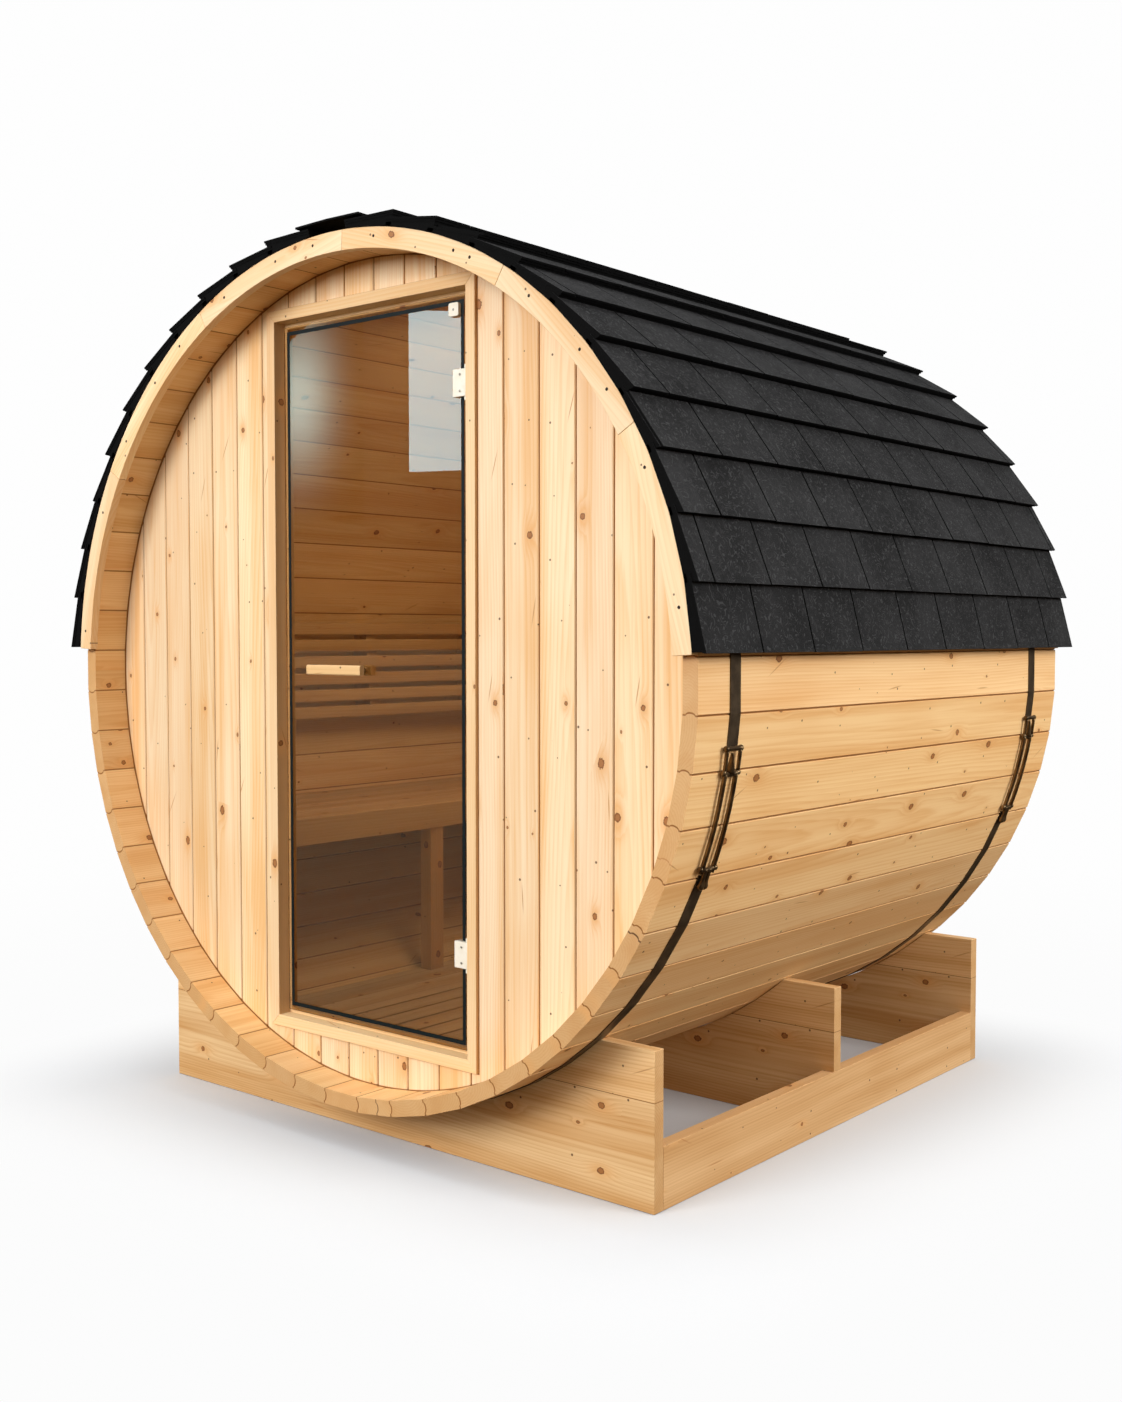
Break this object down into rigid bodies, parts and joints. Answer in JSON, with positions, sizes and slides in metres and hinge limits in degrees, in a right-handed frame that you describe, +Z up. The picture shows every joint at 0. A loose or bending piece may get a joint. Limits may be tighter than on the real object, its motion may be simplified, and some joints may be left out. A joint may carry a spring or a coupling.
{
  "type": "barrel sauna",
  "caption": "Stave barrel sauna with shingled roof, steel bands, glass door, bench and timber cradle.",
  "frame": {"origin": "on the ground, under the middle of the barrel", "axes": "+X to the right seen from the door end, +Y along the barrel into the cabin, +Z up"},
  "size_m": [2.0704, 1.754, 2.1257],
  "materials": {
    "spruce_staves": "planed spruce staves, bare",
    "spruce_cradle": "planed spruce boards, warm honey, bare",
    "spruce_boards": "planed spruce boards with knots, bare",
    "spruce_frame": "planed spruce, bare",
    "spruce_trim": "planed spruce, bare",
    "spruce_handle": "sanded spruce, bare",
    "spruce_floor": "planed spruce floor boards, bare",
    "spruce_bench": "planed spruce bench boards, bare",
    "door_glass": "bronze tinted toughened glass",
    "hinge_plastic": "ivory, satin",
    "shingle": "bitumen shingle with mineral granules, matt black",
    "band_steel": "dark bronze strap, satin",
    "tensioner_bronze": "dark aged bronze"
  },
  "bodies": {
    "cabin": {"back_wall": "spruce_boards", "backrest_ribs": "spruce_bench", "backrest_slats": "spruce_bench", "band_front": "band_steel", "band_rear": "band_steel", "bench_apron": "spruce_bench", "bench_bearers": "spruce_bench", "bench_legs": "spruce_bench", "bench_seat": "spruce_bench", "door_head": "spruce_frame", "door_hinge_brackets": "hinge_plastic", "door_jamb_left": "spruce_frame", "door_jamb_right": "spruce_frame", "door_sill": "spruce_frame", "floor_joists": "spruce_floor", "floor_planks": "spruce_floor", "floor_slats": "spruce_floor", "front_saddle": "spruce_cradle", "front_trim": "spruce_trim", "front_wall_left": "spruce_boards", "front_wall_over_door": "spruce_boards", "front_wall_right": "spruce_boards", "front_wall_under_door": "spruce_boards", "left_rail": "spruce_cradle", "middle_saddle": "spruce_cradle", "rear_saddle": "spruce_cradle", "rear_trim": "spruce_trim", "right_rail": "spruce_cradle", "roof_left": "shingle", "roof_ridge_cap": "shingle", "roof_right": "shingle", "staves_bottom": "spruce_staves", "staves_left": "spruce_staves", "staves_lower_left": "spruce_staves", "staves_lower_right": "spruce_staves", "staves_right": "spruce_staves", "staves_top": "spruce_staves", "staves_upper_left": "spruce_staves", "staves_upper_right": "spruce_staves", "tensioner_front": "tensioner_bronze", "tensioner_rear": "tensioner_bronze"},
    "door": {"door_glass": "door_glass", "door_handle": "spruce_handle", "door_hinge_clamps": "hinge_plastic", "door_corner_block": "hinge_plastic"}
  },
  "joints": [
    {"name": "door_hinge", "type": "hinge", "parent": "cabin", "child": "door", "pos_m": [0.3095, -0.747, 1.095], "axis": [0, 0, 1], "range_deg": [0, 90]}
  ]
}
